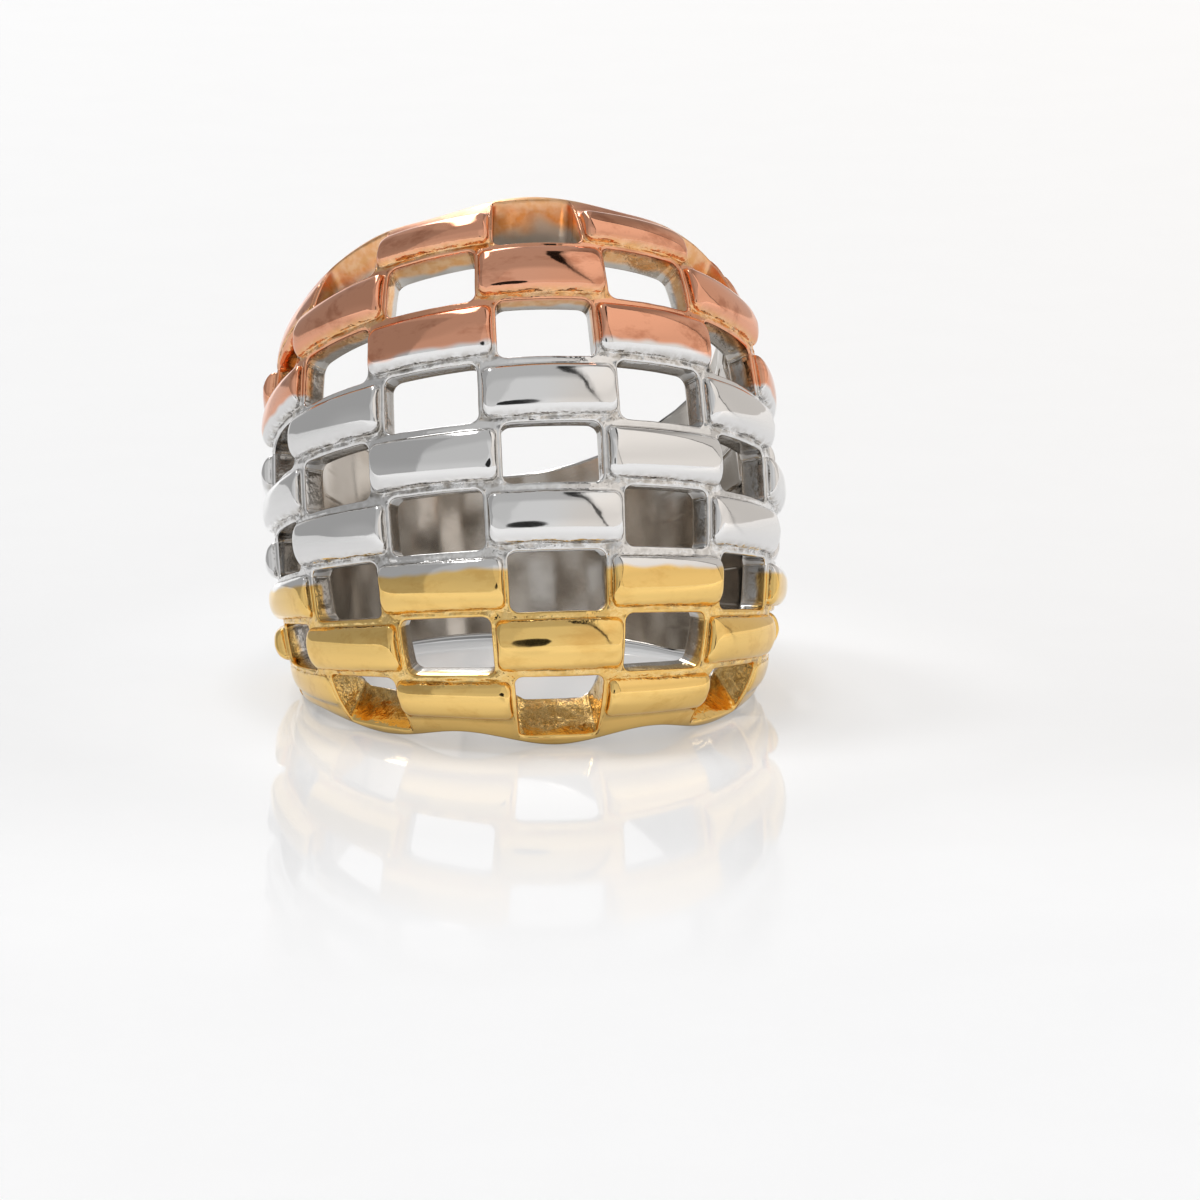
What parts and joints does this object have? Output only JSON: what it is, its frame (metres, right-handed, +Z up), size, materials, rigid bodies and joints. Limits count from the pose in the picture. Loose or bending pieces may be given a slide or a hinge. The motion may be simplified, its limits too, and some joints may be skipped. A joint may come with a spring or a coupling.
{
  "type": "mesh ring",
  "caption": "Finger ring with a high open dome of raised bars and pierced gaps in a checkerboard, tapering into a plain shank.",
  "frame": {"origin": "on the resting surface, below the middle of the bounding box", "axes": "+Z up as the ring rests, dome towards -Y, shank towards +Y, +X across the finger; the finger's axis leans from +Z towards +Y"},
  "size_m": [0.0218, 0.0246, 0.021],
  "materials": {
    "mesh_ring": "polished silver, plated rose gold at the top and yellow gold at the bottom"
  },
  "bodies": {
    "root": {"mesh_ring": "mesh_ring"}
  },
  "joints": []
}
